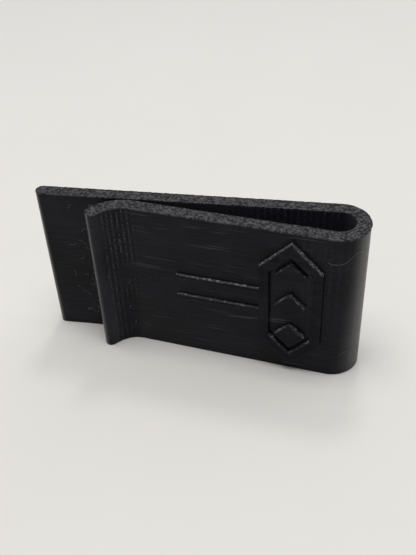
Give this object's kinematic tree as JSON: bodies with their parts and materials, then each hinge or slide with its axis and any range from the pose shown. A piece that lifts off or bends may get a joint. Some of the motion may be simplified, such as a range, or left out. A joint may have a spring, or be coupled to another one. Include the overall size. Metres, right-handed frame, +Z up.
{
  "type": "money clip",
  "caption": "Printed spring money clip: long flat back leaf, U-shaped bend and a shorter front leaf with a raised emblem that closes on it and ends in a flared lip.",
  "frame": {"origin": "on the back leaf's standing edge, halfway along the clip and in the middle of the leaf's thickness", "axes": "+X along the back leaf towards the bend, +Y square out of the back leaf's outer face, +Z up across the strip; the front leaf is on the -Y side"},
  "size_m": [0.05, 0.0093, 0.026],
  "materials": {
    "strip_plastic": "black printed plastic with fine layer lines and a satin sheen",
    "emblem_plastic": "black printed plastic with fine layer lines and a satin sheen"
  },
  "bodies": {
    "back": {"back_leaf": "strip_plastic", "spring_bend": "strip_plastic"},
    "front": {"front_leaf": "strip_plastic", "pinch_crest": "strip_plastic", "lip_end": "strip_plastic", "emblem_frame": "emblem_plastic", "emblem_diamonds": "emblem_plastic", "emblem_stripes": "emblem_plastic"}
  },
  "joints": [
    {"name": "leaf_spring", "type": "hinge", "parent": "back", "child": "front", "pos_m": [0.02065, -0.00335, 0.013], "axis": [0, 0, 1], "range_deg": [0, 10], "stiffness_Nm_per_rad": 1.4, "deforming": ["spring_bend"]}
  ]
}
